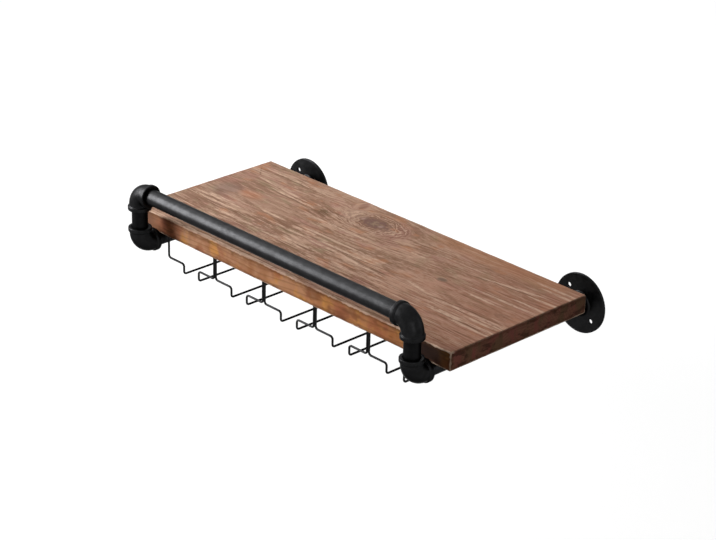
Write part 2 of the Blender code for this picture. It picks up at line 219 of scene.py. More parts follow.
# Changes along the plank: where each starts, and where it is complete
LIVELY_FRONT_Y = (-10, -40)
CALM_REAR_X = (0, 60)
CALM_REAR_Y = (74, 96)
LIMED_REAR_X = (-90, -150)
GREYER_X = (-60, -300)
REDDER_X = (20, 310)
WARM_REAR_Y = (84, 110)
ORANGE_SIDE_X = (-140, 200)
# painted shade over the left end of the sides, for the soft shadow of the left riser and elbows
SHADED_LEFT_END_X = (-225, -275)
# painted shadow of the right riser and elbows on the front face, at its right end
RISER_SHADOW_X = (238, 250)
RISER_SHADOW_FADE_X = (276, 298)
RISER_SHADOW_Y = (-60, -118)
HANDLED_X = (230, 290)
SPARED_END_X = (284, 292)
SPARED_END_Y = (121, 115)
SPARED_END_Z = (0, 6)
RUBBED_LOW_X = (190, 260)
RUBBED_LOW_Z = (-6, -11)
RED_ARC_X = (12, 42)  # from the large knot's middle
PALE_ARC_X = (-28, -42)
REDDER_DRIFT = 300  # how far patches of the grain move the change to red

# Bands along the plank: two sides, and the width over which they fade
LIMED_BAND_Y = (-66, -8, 16)
LIMED_REAR_Y = (86, 112, 8)
WARM_REAR_X = (70, 250, 40)

# Longer lines of the grain, each between two places
PALE_STROKES = (
    ((-285, 101), (-140, 97)), ((-270, 72), (-150, 60)), ((-224, 58), (-134, 52)),
    ((-126, 32), (-4, 31)), ((-295, -25), (-190, -24)), ((-295, -34), (-186, -33)),
    ((-232, -51), (-118, -50)), ((-140, -23), (-64, -22)), ((-108, -3), (70, -2)),
    ((-104, 60), (-72, 54)), ((-68, 57), (-12, 55)), ((-110, -10), (-60, -9)),
    ((-50, -17), (60, -16)), ((0, -26), (92, -34)), ((-118, -53), (-40, -51)),
    ((118, -17), (158, -24)), ((160, -31), (330, -24)), ((168, 59), (272, 77)),
    ((186, 29), (330, 31)), ((182, -48), (330, -49)), ((60, 49), (88, 50)),
    ((-178, -5), (-126, -6)), ((-272, -20), (-216, -19)), ((-60, -26), (0, -25)),
    ((-92, -45), (-20, -44)), ((0, -8), (66, -9)), ((238, -38), (296, -37)),
    ((196, 14), (246, 13)), ((-296, -112), (110, -111)), ((-270, -119), (30, -122)),
    ((226, -57), (330, -58)), ((188, -53), (252, -52)), ((250, -31), (330, -31)),
    ((230, 104), (350, 104)), ((250, 95), (350, 93)), ((252, 66), (340, 67)),
    ((246, 44), (340, 43)),
)
DARK_STROKES = (
    ((-290, 97), (-266, 74)), ((-250, 97), (-196, 94)), ((-222, 55), (-130, 47)),
    ((-130, 44), (-112, 62)), ((-118, 50), (-98, 44)), ((-104, 64), (-64, 60)),
    ((-66, 52), (-16, 48)), ((-106, -15), (60, -19)), ((0, -22), (92, -28)),
    ((-262, -38), (-160, -39)), ((160, 56), (272, 72)), ((166, -27), (296, -20)),
    ((200, -54), (290, -54)), ((-296, -118), (240, -118)),
)

# Surface of the plank
WOOD_GLOSS = 0.06
WOOD_ROUGHNESS = 0.82
WOOD_RELIEF = 0.0004

# Black metals: reflected share of light, roughness, its unevenness, grain in millimetres, grit in metres
CAST_IRON = (0.0105, 0.36, 0.22, 1.1, 0.00004)
SATIN_PIPE = (0.015, 0.355, 0.04, 1.6, 0.00001)
# for the riser nipples: the pipe's black made darker as painted shade, and a little rougher
DULL_SHADED_PIPE = (0.006, 0.40, 0.10, 1.2, 0.00002)
SATIN_WIRE = (0.012, 0.36, 0.06, 0.9, 0.00001)
BLACKENED_STEEL = (0.035, 0.40, 0.12, 0.7, 0.00002)
METAL_BLUE = 1.04  # share of blue in the reflection, against red and green
METAL_SPREAD = 9000  # millimetres of pattern between pieces a metre apart

# Studio panels: azimuth, elevation and lean in degrees, distance, width and height in metres, level
KEY_PLACE = (-56, 20, 27, 2.0, 0.45, 1.35)
PANELS = {
    "key_panel": (*KEY_PLACE, 1.5),
    "key_card": (*KEY_PLACE, 2.8),
    "side_card": (-92, 33, 0, 2.2, 1.4, 1.4, 0.25),
    "top_panel": (-93, 51, 0, 2.4, 1.6, 1.6, 0.40),
    "rim_panel": (-138, 32, 0, 2.4, 1.2, 0.8, 0.22),
    "fill_panel": (59, 15, 0, 1.1, 0.35, 0.5, 0.10),
    "corner_panel": (128, 12, 0, 1.6, 0.5, 0.8, 0.04),
}
SHEEN_ONLY = ("key_card", "side_card")

# Floor and surroundings
FLOOR_DEPTH = 0.55  # below the origin
FLOOR_REACH = 14
FLOOR_GREYS = (0.19, 0.21)
FLOOR_GLOW = 0.84  # below the object
FLOOR_FAR_GLOW = 0.97
FLOOR_CHANGE = (700, 1700)  # millimetres from the middle, between the two
WORLD_LIGHT = 0.03

# The photograph's camera
CAMERA_PLACE = (1.91248, -2.03763, 1.23561)
CAMERA_TURN = (65.3138, -1.4088, 46.0609)  # degrees
CAMERA_LENS = 111.525  # millimetres, on a sensor 36 mm wide


# Shapes


def arc(centre, radius, start, stop, steps):
    """Points on an arc from angle start to angle stop."""
    angles = [start + (stop - start) * i / steps for i in range(steps + 1)]
    return [(centre[0] + radius * cos(a), centre[1] + radius * sin(a)) for a in angles]


def circle(radius, sides):
    """Points on a circle round the origin."""
    return [(radius * cos(tau * i / sides), radius * sin(tau * i / sides)) for i in range(sides)]


def loft(rings, closed=False):
    """Skins rings of equal point count. A closed loft joins its last ring to its first, and an
    open one has flat ends."""
    bm = bmesh.new()
    loops = [[bm.verts.new(point) for point in ring] for ring in rings]
    pairs = list(zip(loops, loops[1:]))
    if closed:
        pairs.append((loops[-1], loops[0]))
    else:
        bm.faces.new(loops[0])
        bm.faces.new(loops[-1])
    for one, other in pairs:
        for i in range(len(one)):
            bm.faces.new((one[i - 1], one[i], other[i], other[i - 1]))
    return bm


def turned(profile, sides, closed=False):
    """Turns a profile of (radius, height) points about the Z axis."""
    return loft([[(x, y, z) for x, y in circle(r, sides)] for r, z in profile], closed)


def smooth(mesh):
    """Shades a mesh smooth, except at its real edges."""
    mesh.shade_smooth()
    mesh.set_sharp_from_angle(angle=SHARP_EDGE)
    return mesh


def mesh_of(name, bm):
    """A smooth mesh with its faces outwards."""
    bmesh.ops.recalc_face_normals(bm, faces=bm.faces)
    if bm.calc_volume(signed=True) < 0:
        bmesh.ops.reverse_faces(bm, faces=bm.faces)
    mesh = bpy.data.meshes.new(name)
    bm.to_mesh(mesh)
    bm.free()
    return smooth(mesh)


def evaluated(obj):
    """A mesh of the object with its modifiers or its bevel applied. The object is used up."""
    bpy.context.view_layer.update()
    mesh = bpy.data.meshes.new_from_object(obj.evaluated_get(bpy.context.evaluated_depsgraph_get()))
    bpy.data.objects.remove(obj)
    return smooth(mesh)


def linked(name, data):
    """A new object in the scene."""
    obj = bpy.data.objects.new(name, data)
    bpy.context.scene.collection.objects.link(obj)
    return obj


def carved(mesh, cutter):
    """Cuts one mesh out of another."""
    body, tool = linked("carved_body", mesh), linked("carving_tool", cutter)
    cut = body.modifiers.new("cut", "BOOLEAN")
    cut.operation = "DIFFERENCE"
    cut.solver = "EXACT"
    cut.object = tool
    made = evaluated(body)
    bpy.data.objects.remove(tool)
    return made


def posts(places, profile, sides):
    """Upright turned posts of one profile at places (x, y), to cut holes with."""
    bm = bmesh.new()
    for x, y in places:
        post = turned(profile, sides)
        bmesh.ops.translate(post, vec=(x, y, 0), verts=post.verts)
        part = bpy.data.meshes.new("post")
        post.to_mesh(part)
        post.free()
        bm.from_mesh(part)
        bpy.data.meshes.remove(part)
    return mesh_of("posts", bm)


def bent_strip(path, thickness, width):
    """Sheet metal with rounded edges, bent along a path in the XZ plane, with its width along Y."""
    rounding = STRIP_EDGE_ROUND
    half_thickness, half_width = thickness / 2 - rounding, width / 2 - rounding
    section = []
    for quarter, (s, t) in enumerate(((1, 1), (-1, 1), (-1, -1), (1, -1))):
        start = quarter * pi / 2
        centre = (s * half_thickness, t * half_width)
        section += arc(centre, rounding, start, start + pi / 2, STRIP_EDGE_STEPS)
    rings = []
    for i, (x, z) in enumerate(path):
        before = Vector(path[max(i - 1, 0)])
        after = Vector(path[min(i + 1, len(path) - 1)])
        across = (after - before).orthogonal().normalized()
        rings.append([(x + s * across.x, t, z + s * across.y) for s, t in section])
    return loft(rings)


def grid_lines(reach):
    """Places from -reach to reach, evenly spaced apart from closer ones at both ends."""
    inner = reach - BOARD_EDGE_STATIONS[-1]
    count = max(2, round(2 * inner / BOARD_GRID))
    middle = [-inner + 2 * inner * i / count for i in range(count + 1)]
    low = [s - reach for s in BOARD_EDGE_STATIONS[:-1]]
    return low + middle + [-s for s in reversed(low)]


def box_grid(half):
    """A box of the given half sizes, with grids for faces."""
    lines = [grid_lines(reach) for reach in half]
    bm = bmesh.new()
    made = {}

    def corner(*key):
        if key not in made:
            made[key] = bm.verts.new([lines[axis][k] for axis, k in enumerate(key)])
        return made[key]

    for axis in range(3):
        u, v = (axis + 1) % 3, (axis + 2) % 3
        for end in (0, len(lines[axis]) - 1):
            for i, j in product(range(len(lines[u]) - 1), range(len(lines[v]) - 1)):
                face = []
                for a, b in ((i, j), (i + 1, j), (i + 1, j + 1), (i, j + 1)):
                    key = [0, 0, 0]
                    key[axis], key[u], key[v] = end, a, b
                    face.append(corner(*key))
                bm.faces.new(face)
    return bm


def plank_mesh():
    """The board, with edges rounded by wear that wanders along them, and holes for its screws."""
    half = Vector((BOARD_LENGTH, BOARD_DEPTH, BOARD_THICKNESS)) / 2
    bm = box_grid(half)
    for vert in bm.verts:
        at = vert.co.copy()
        wander = sum(weight * noise.noise(at * cells) for cells, weight in BOARD_WEAR_WAVES)
        radius = max(BOARD_EDGE_LEAST, BOARD_EDGE_RADIUS + BOARD_EDGE_WEAR * wander)
        core = Vector([max(-h + radius, min(h - radius, c)) for c, h in zip(at, half)])
        if (at - core).length > 0:
            vert.co = core + (at - core).normalized() * radius
    board = mesh_of("plank", bm)
    tip = max(seat.z for seat in screw_seats().values()) + SCREW_LENGTH + PILOT_CLEARANCE
    pilot = SCREW_DIAMETER / 2 + PILOT_CLEARANCE
    places = [(seat.x, seat.y - BOARD_MIDDLE.y) for seat in screw_seats().values()]
    profile = [(pilot, -BOARD_THICKNESS), (pilot, tip - BOARD_MIDDLE.z)]
    return carved(board, posts(places, profile, SCREW_SIDES))


def pipe_mesh(length):
    """A pipe along Z from the origin, with chamfered ends."""
    outer = PIPE_DIAMETER / 2
    inner = outer - PIPE_WALL
    chamfer = PIPE_CHAMFER
    profile = [(inner, chamfer), (inner + chamfer, 0), (outer - chamfer, 0), (outer, chamfer)]
    profile += [(r, length - z) for r, z in reversed(profile)]
    return mesh_of("pipe", turned(profile, ROUND_SIDES, closed=True))


def elbow_mesh():
    """A cast elbow with a banded socket along +Z and another along +X. Its axes cross at the
    origin."""

    def ring(x, z, lean, radius):
        across = Vector((cos(lean), 0, sin(lean)))
        return [Vector((x, v, z)) + across * u for u, v in circle(radius, ROUND_SIDES)]

    def leg(stations, lean):
        return [ring(d * sin(lean), d * cos(lean), lean, radius) for d, radius in stations]

    def bend(bend_radius, radius):
        leans = [pi / 2 * i / ELBOW_STEPS for i in range(ELBOW_STEPS + 1)]
        return [ring(bend_radius * (1 - cos(a)), bend_radius * (1 - sin(a)), a, radius) for a in leans]

    band, body = ELBOW_BAND_DIAMETER / 2, ELBOW_BODY_DIAMETER / 2
    shoulder = ELBOW_REACH - ELBOW_BAND_WIDTH
    rounding = ELBOW_FACE_ROUND
    outer = arc((ELBOW_REACH - rounding, band - rounding), rounding, 0, pi / 2, EDGE_STEPS)
    for i in range(SHOULDER_STEPS):
        fall = i / SHOULDER_STEPS
        level = band - (band - body) * (1 - cos(pi * fall)) / 2
        outer.append((shoulder + ELBOW_SHOULDER_RUN * (1 - fall), level))
    socket_end = ELBOW_REACH - ELBOW_SOCKET_DEPTH
    mouth = ELBOW_MOUTH_CHAMFER
    inner = [
        (ELBOW_REACH, SOCKET_RADIUS + mouth),
        (ELBOW_REACH - mouth, SOCKET_RADIUS),
        (socket_end, SOCKET_RADIUS),
    ]
    outside = leg(outer, 0) + bend(shoulder, body) + leg(outer[::-1], pi / 2)
    inside = leg(inner, 0) + bend(socket_end, ELBOW_BORE / 2) + leg(inner[::-1], pi / 2)
    return mesh_of("elbow", loft(outside + inside[::-1], closed=True))


def flange_mesh():
    """A round flange with its back at the origin, its hub along +Z and two screw holes."""
    rim, hub = FLANGE_DIAMETER / 2, FLANGE_HUB_DIAMETER / 2
    rounding, fillet, plate = FLANGE_EDGE_ROUND, FLANGE_HUB_FILLET, FLANGE_THICKNESS
    mouth = ELBOW_MOUTH_CHAMFER
    profile = [
        (SOCKET_RADIUS, 0),
        (rim - FLANGE_BACK_CHAMFER, 0),
        (rim, FLANGE_BACK_CHAMFER),
        *arc((rim - rounding, plate - rounding), rounding, 0, pi / 2, EDGE_STEPS),
        *arc((hub + fillet, plate + fillet), fillet, -pi / 2, -pi, BEND_STEPS),
        *arc((hub - rounding, FLANGE_HUB_HEIGHT - rounding), rounding, 0, pi / 2, EDGE_STEPS),
        (SOCKET_RADIUS + mouth, FLANGE_HUB_HEIGHT),
        (SOCKET_RADIUS, FLANGE_HUB_HEIGHT - mouth),
    ]
    plate_mesh = mesh_of("flange", turned(profile, FLANGE_SIDES, closed=True))
    hole, chamfer = FLANGE_HOLE_DIAMETER / 2, FLANGE_HOLE_CHAMFER
    reach = FLANGE_HOLE_CIRCLE / 2
    places = [(reach * cos(a), reach * sin(a)) for a in FLANGE_HOLE_ANGLES]
    cutter = [
        (hole, -plate),
        (hole, plate - chamfer),
        (hole + chamfer, plate),
        (hole + chamfer, 2 * plate),
    ]
    return carved(plate_mesh, posts(places, cutter, HOLE_SIDES))


def strap_mesh():
    """A two-footed strap round the underside of a pipe, whose axis is Y."""
    wrap = SOCKET_RADIUS + STRAP_THICKNESS / 2
    foot_z = BOARD_UNDERSIDE - SEAT_GAP - STRAP_THICKNESS / 2
    bend_x, bend_z = wrap + STRAP_BEND, foot_z - STRAP_BEND
    end_x = bend_x + STRAP_FOOT
    path = [
        (-end_x, foot_z),
        *arc((-bend_x, bend_z), STRAP_BEND, pi / 2, 0, BEND_STEPS),
        *arc((0, 0), wrap, pi, tau, WRAP_STEPS),
        *arc((bend_x, bend_z), STRAP_BEND, pi, pi / 2, BEND_STEPS),
        (end_x, foot_z),
    ]
    strip = mesh_of("strap", bent_strip(path, STRAP_THICKNESS, STRAP_WIDTH))
    profile = [(SCREW_HOLE_RADIUS, bend_z), (SCREW_HOLE_RADIUS, BOARD_UNDERSIDE)]
    places = [(STRAP_SCREW_OFFSET, 0), (-STRAP_SCREW_OFFSET, 0)]
    return carved(strip, posts(places, profile, SCREW_SIDES))


def clip_mesh():
    """A one-footed clip round the underside of a wire, whose axis is Y at the origin."""
    seat_z = WIRE_DIAMETER / 2
    foot_z = seat_z - CLIP_THICKNESS / 2
    bend_x = CLIP_WRAP + CLIP_BEND
    path = [
        (-bend_x - CLIP_FOOT, foot_z),
        *arc((-bend_x, foot_z - CLIP_BEND), CLIP_BEND, pi / 2, 0, BEND_STEPS),
        *arc((0, 0), CLIP_WRAP, pi, tau, WRAP_STEPS // 2),
        (CLIP_WRAP, seat_z),
    ]
    strip = mesh_of("clip", bent_strip(path, CLIP_THICKNESS, CLIP_WIDTH))
    low, high = seat_z - 2 * CLIP_THICKNESS, seat_z + CLIP_THICKNESS
    profile = [(SCREW_HOLE_RADIUS, low), (SCREW_HOLE_RADIUS, high)]
    return carved(strip, posts([(-CLIP_SCREW_OFFSET, 0)], profile, SCREW_SIDES))


def screw_mesh():
    """A pan-head screw along +Z with a cross recess, its head's bearing face at the origin."""
    shank, head, rise = SCREW_DIAMETER / 2, SCREW_HEAD_DIAMETER / 2, SCREW_HEAD_HEIGHT / 2
    slopes = [pi / 2 * i / DOME_STEPS for i in range(1, DOME_STEPS + 1)]
    profile = [
        *[(head * sin(a), -rise - rise * cos(a)) for a in slopes],
        (head, -STRIP_EDGE_ROUND),
        (head - STRIP_EDGE_ROUND, 0),
        (shank, 0),
        (shank, SCREW_LENGTH - SCREW_TIP),
        (SCREW_POINT_DIAMETER / 2, SCREW_LENGTH),
    ]
    body = mesh_of("screw", turned(profile, SCREW_SIDES))
    floor = -SCREW_HEAD_HEIGHT + RECESS_DEPTH
    top = -2 * SCREW_HEAD_HEIGHT
    for length, width in ((RECESS_LENGTH, RECESS_WIDTH), (RECESS_WIDTH, RECESS_LENGTH)):
        rings = []
        for z, share in ((top, RECESS_TOP_SHARE), (floor, RECESS_FLOOR_SHARE)):
            x = length / 2 * (share if length > width else 1)
            y = width / 2 * (share if width > length else 1)
            rings.append([(x, y, z), (-x, y, z), (-x, -y, z), (x, -y, z)])
        body = carved(body, mesh_of("recess", loft(rings)))
    return body


def holder_route():
    """Points along a glass holder's wire, which is bent alike on both sides of its middle."""
    rail_x = (HOLDER_SLOT_WIDTH + WIRE_DIAMETER) / 2
    bridge_z = BOARD_UNDERSIDE - HOLDER_LEG_DROP
    rail_z = bridge_z - HOLDER_LIP_DROP
    eye = [
        Vector((x, y, WIRE_SEAT_Z))
        for x, y in arc((LEG_X - EYE_RADIUS, EYE_Y), EYE_RADIUS, WIRE_EYE_TURN, 0, EYE_STEPS)
    ]
    corners = [
        eye[-1],
        Vector((LEG_X, HOLDER_FRONT, WIRE_SEAT_Z)),
        Vector((LEG_X, HOLDER_FRONT, bridge_z)),
        Vector((rail_x, HOLDER_FRONT, bridge_z)),
        Vector((rail_x, HOLDER_FRONT, rail_z)),
        Vector((rail_x, HOLDER_REAR, rail_z)),
        Vector((rail_x, HOLDER_REAR, WIRE_SEAT_Z)),
        Vector((0, HOLDER_REAR, WIRE_SEAT_Z)),
    ]
    half = list(eye)
    for before, corner, after in zip(corners, corners[1:], corners[2:]):
        arriving = (corner - before).normalized() * WIRE_BEND
        leaving = (after - corner).normalized() * WIRE_BEND
        centre = corner - arriving + leaving
        turns = [pi / 2 * i / BEND_STEPS for i in range(BEND_STEPS + 1)]
        half += [centre + arriving * sin(t) - leaving * cos(t) for t in turns]
    half.append(corners[-1])
    return half + [Vector((-p.x, p.y, p.z)) for p in half[-2::-1]]


def holder_mesh():
    """A glass holder of one length of round wire."""
    route = holder_route()
    wire = bpy.data.curves.new("wire", "CURVE")
    wire.dimensions = "3D"
    wire.bevel_depth = WIRE_DIAMETER / 2
    wire.bevel_resolution = WIRE_BEVEL_STEPS
    wire.use_fill_caps = True
    line = wire.splines.new("POLY")
    line.points.add(len(route) - 1)
    for point, at in zip(line.points, route):
        point.co = (*at, 1)
    return evaluated(linked("wire", wire))


def strap_depths():
    """Which straps a support has, and their places along it."""
    return (("front", BOARD_FRONT + STRAP_INSET), ("rear", BOARD_BACK - STRAP_INSET))


def holder_middles():
    """Each glass holder's number, and its place along the board."""
    return [(i + 1, (i - (HOLDER_COUNT - 1) / 2) * HOLDER_PITCH) for i in range(HOLDER_COUNT)]


def screw_seats():
    """Each screw's node, and the place of its head's bearing face."""
    seats = {}
    strap_z = BOARD_UNDERSIDE - STRAP_THICKNESS - 2 * SEAT_GAP
    for side, x in (("left", -SUPPORT_X), ("right", SUPPORT_X)):
        for end, y in strap_depths():
            for edge, way in (("left", -1), ("right", 1)):
                at = Vector((x + way * STRAP_SCREW_OFFSET, y, strap_z))
                seats[f"{side}_{end}_strap_{edge}_screw"] = at
    eye_z = WIRE_SEAT_Z - WIRE_DIAMETER / 2 - SEAT_GAP
    clip_z = BOARD_UNDERSIDE - CLIP_THICKNESS - 2 * SEAT_GAP
    for number, x in holder_middles():
        holder = f"glass_holder_{number}"
        seats[f"{holder}_left_screw"] = Vector((x - LEG_X + EYE_RADIUS, EYE_Y, eye_z))
        seats[f"{holder}_right_screw"] = Vector((x + LEG_X - EYE_RADIUS, EYE_Y, eye_z))
        seats[f"{holder}_clip_screw"] = Vector((x, HOLDER_REAR - CLIP_SCREW_OFFSET, clip_z))
    return seats


# Materials


def colour(red, green, blue):
    """A linear colour from its 8-bit display values, by the sRGB curve."""

    def linear(value):
        value /= 255
        return value / 12.92 if value <= 0.04045 else ((value + 0.055) / 1.055) ** 2.4

    return (linear(red), linear(green), linear(blue), 1)


class Field:
    """A number that varies over a surface: one output in a material's nodes."""

    def __init__(self, tree, socket):
        self.tree = tree
        self.socket = socket

    def math(self, operation, *others):
        node = self.tree.nodes.new("ShaderNodeMath")
        node.operation = operation
        for socket, value in zip(node.inputs, (self, *others)):
            feed(self.tree, socket, value)
        return Field(self.tree, node.outputs[0])

    def __add__(self, other):
        return self.math("ADD", other)

    def __sub__(self, other):
        return self.math("SUBTRACT", other)

    def __mul__(self, other):
        return self.math("MULTIPLY", other)

    def __truediv__(self, other):
        return self.math("DIVIDE", other)

    def scaled(self, gain, base):
        """This times a gain, plus a base."""
        return self.math("MULTIPLY_ADD", gain, base)

    def ramp(self, low, high):
        """Rises smoothly from 0 at low to 1 at high, or falls where low is the larger."""
        node = self.tree.nodes.new("ShaderNodeMapRange")
        node.interpolation_type = "SMOOTHSTEP"
        feed(self.tree, node.inputs["Value"], self)
        node.inputs["From Min"].default_value = min(low, high)
        node.inputs["From Max"].default_value = max(low, high)
        made = Field(self.tree, node.outputs["Result"])
        return made if low < high else made.scaled(-1, 1)

    def between(self, low, high, edge):
        """1 between two values, and falling to 0 over the given width outside them."""
        return self.ramp(low - edge, low) * self.ramp(high + edge, high)


def feed(tree, socket, value):
    """Links a field to a socket, or sets a plain value on it."""
    if isinstance(value, Field):
        tree.links.new(value.socket, socket)
    else:
        socket.default_value = value


def noise_field(x, y, z, detail=2, roughness=0.5):
    """Fractal noise about 0.5, one cell to each unit of the coordinates."""
    tree = next(c.tree for c in (x, y, z) if isinstance(c, Field))
    join = tree.nodes.new("ShaderNodeCombineXYZ")
    for socket, value in zip(join.inputs, (x, y, z)):
        feed(tree, socket, value)
    node = tree.nodes.new("ShaderNodeTexNoise")
    tree.links.new(join.outputs[0], node.inputs["Vector"])
    node.inputs["Scale"].default_value = 1
    node.inputs["Detail"].default_value = detail
    node.inputs["Roughness"].default_value = roughness
    return Field(tree, node.outputs[0])


def mixed(tree, one, other, share):
    """One colour turning into another by a share from 0 to 1. A colour is a socket or a tuple."""
    node = tree.nodes.new("ShaderNodeMix")
    node.data_type = "RGBA"
    factor, a, b = node.inputs[0], node.inputs[6], node.inputs[7]
    feed(tree, factor, share)
    for socket, value in ((a, one), (b, other)):
        if isinstance(value, tuple):
            socket.default_value = value
        else:
            tree.links.new(value, socket)
    return node.outputs[2]


class Paint:
    """A colour that is built up in coats. Colours are given by their display values."""

    def __init__(self, tree, one, other, share):
        self.tree = tree
        self.socket = mixed(tree, colour(*one), colour(*other), share)

    def coat(self, red, green, blue, share):
        """Lays a colour over a share of the surface."""
        self.socket = mixed(self.tree, self.socket, colour(red, green, blue), share)


def separated(tree, socket):
    """The three parts of a vector."""
    node = tree.nodes.new("ShaderNodeSeparateXYZ")
    tree.links.new(socket, node.inputs[0])
    return [Field(tree, out) for out in node.outputs]


def new_material(name):
    """A material, its nodes and its shader."""
    made = bpy.data.materials.new(name)
    made.use_nodes = True
    return made, made.node_tree, made.node_tree.nodes["Principled BSDF"]


def relief(tree, shader, height, distance):
    """Bumps the shader by a height field, whose full range is the given distance."""
    bump = tree.nodes.new("ShaderNodeBump")
    bump.inputs["Strength"].default_value = 1
    bump.inputs["Distance"].default_value = distance
    tree.links.new(height.socket, bump.inputs["Height"])
    tree.links.new(bump.outputs["Normal"], shader.inputs["Normal"])


def millimetres(tree, spread=0):
    """A piece's own coordinates in millimetres. With a spread, each copy of a piece has its own
    stretch of the pattern."""
    place = tree.nodes.new("ShaderNodeTexCoord").outputs["Object"]
    scaled = tree.nodes.new("ShaderNodeVectorMath")
    scaled.operation = "SCALE"
    scaled.inputs["Scale"].default_value = 1000
    tree.links.new(place, scaled.inputs[0])
    result = scaled.outputs[0]
    if spread:
        shift = tree.nodes.new("ShaderNodeVectorMath")
        shift.operation = "MULTIPLY_ADD"
        shift.inputs[1].default_value = (spread, spread, spread)
        tree.links.new(tree.nodes.new("ShaderNodeObjectInfo").outputs["Location"], shift.inputs[0])
        tree.links.new(result, shift.inputs[2])
        result = shift.outputs[0]
    return separated(tree, result)


def ellipse(x, y, centre, half_length, half_width):
    """Distance from a centre, which is 1 on an ellipse along X."""
    u = (x - centre[0]) / half_length
    v = (y - centre[1]) / half_width
    return (u * u + v * v).math("SQRT")


def plank_grain(x, y, z):
    """Streaks and growth rings along the board, which sway and part round the knots."""
    across = y
    for knot, half_length, half_width in PARTED_GRAIN:
        swell = ellipse(x, y, knot, half_length, half_width)
        across = across - (y - knot[1]) / (swell * swell).math("MAXIMUM", 1)
    sway = noise_field(x / 230, y / 95, z / 95, detail=1) - 0.5
    ripple = noise_field(x / 60, y / 14, z / 14) - 0.5
    across = across + sway * GRAIN_SWAY + ripple * GRAIN_RIPPLE
    # the pith lies below the board and rises towards its right end
    pith_drop = z + (PITH_DEPTH - BOARD_HALVES[2]) - (x - TONGUE_TIP) * PITH_TILT
    aside = across - PITH_Y
    rings = (aside * aside + pith_drop * pith_drop).math("SQRT")
    phase = (rings / RING_WIDTH + noise_field(x / 300, rings / 14, 0.5, detail=1)).math("FRACT")
    return SimpleNamespace(
        drawn=y + ripple * STROKE_RIPPLE + sway * STROKE_SWAY,
        late=phase.ramp(0.60, 0.88) * phase.ramp(1.0, 0.94),
        early=phase.ramp(0.0, 0.12) * phase.ramp(0.55, 0.25),
        shade=noise_field(x / 46, across / 7, rings / 25, detail=3, roughness=0.6),
        broad=noise_field(x / 80, across / 4.2, rings / 12, detail=3, roughness=0.6),
        fine=noise_field(x / 26, across / 1.7, rings / 8, detail=3, roughness=0.65),
        lines=noise_field(x / 60, across / 2.3, rings / 9, detail=3, roughness=0.6),
        hair=noise_field(x / 14, across / 0.5, z / 0.7, roughness=0.6),
        flecks=noise_field(x / 9, across / 2.8, z / 8, roughness=0.6),
        patches=noise_field(x / 95, y / 42, z / 42),
        blotches=noise_field(x / 30, across / 11, z / 30, detail=3),
        tints=noise_field(x / 34, y / 17, z / 40),
        blush=noise_field(x / 42, y / 20, z / 40 + 9),
        lively=plank_liveliness(x, y),
    )


def plank_liveliness(x, y):
    """How strongly the streaks show, about 1: more along the front and below the large knot, less on
    a calm patch and behind the knot."""
    front = y.ramp(*LIVELY_FRONT_Y) * 0.4
    below_knot = ellipse(x, y, *LIVELY_PATCH).ramp(1.4, 0.5) * 0.4
    calm = ellipse(x, y, *CALM_PATCH).ramp(1.3, 0.6) * 0.5
    behind = x.ramp(*CALM_REAR_X) * y.ramp(*CALM_REAR_Y) * 0.4
    return front + below_knot - calm - behind + 1


def strokes(x, y, places, half_width):
    """1 on thin lines between pairs of places, which taper to their ends."""
    taper = 1.15  # with a larger one, a line ends sooner
    nearest = x * 0 + 9  # far from every line
    for (x0, y0), (x1, y1) in places:
        length = x1 - x0
        slope = (y1 - y0) / length
        # both are about 1 at the line's rim
        along = x.scaled(2 * taper / length, -taper * (x0 + x1) / length)
        aside = (x.scaled(-slope, y) + (x0 * slope - y0)) / half_width
        square = along * along
        nearest = nearest.math("MINIMUM", square.scaled(square, aside * aside))
    return nearest.ramp(2.5, 0.2)


def plank_knots(x, y, z):
    """The large knot with its rings, and the two lesser ones."""
    wobble = noise_field(x / 13, y / 9, z / 20) - 0.5
    spots = noise_field(x / 7, y / 5, z / 7)
    reach = ellipse(x, y, *MAIN_KNOT_SPOT) + wobble * 0.7
    halo = reach.ramp(2.2, 1.6)
    growth = (reach * 3.4 + wobble * 0.9).math("FRACT")
    right = x - MAIN_KNOT[0]
    left_spot, right_spot = (ellipse(x, y, *spot) for spot in PALE_KNOT_SPOTS)
    return SimpleNamespace(
        halo=halo,
        pale_spots=(left_spot.math("MINIMUM", right_spot) + wobble).ramp(1.2, 0.3),
        heart=reach.ramp(1.25, 0.55) * spots.ramp(0.62, 0.48).scaled(0.75, 0.25),
        dark_rings=growth.between(0.10, 0.30, 0.16) * halo * reach.ramp(0.4, 0.9),
        limed_rings=growth.between(0.55, 0.72, 0.14) * halo * reach.ramp(0.8, 1.2),
        red_arc=right.ramp(*RED_ARC_X) * reach.between(1.5, 1.95, 0.25),
        pale_arc=right.ramp(*PALE_ARC_X) * reach.between(1.15, 1.7, 0.3),
        small=(ellipse(x, y, *SMALL_KNOT_SPOT) + wobble * 1.3).ramp(1.25, 0.4),
        pin=(ellipse(x, y, *PIN_KNOT_SPOT) + wobble * 0.8).ramp(1.3, 0.5),
    )


def lime_share(x, y, grain, knots):
    """Where lime stays in the brushed grain: in streaks that are closer along the front and at the
    upper left, and on a number of longer lines."""
    band = y.between(*LIMED_BAND_Y)
    upper_left = x.ramp(*LIMED_REAR_X) * y.between(*LIMED_REAR_Y)
    streaks = grain.broad * 0.45 + grain.fine * 0.35 + grain.shade * 0.2
    streaks = streaks + grain.early * 0.03 + band * 0.015 + upper_left * 0.03
    streaks = streaks.ramp(0.54, 0.67) * grain.lively * 0.62
    broken = (grain.fine * 0.6 + grain.flecks * 0.4).ramp(0.36, 0.56)
    lines = strokes(x, grain.drawn, PALE_STROKES, PALE_HALF_WIDTH) * broken
    return streaks.math("MAXIMUM", lines) * knots.halo.scaled(-0.4, 1)


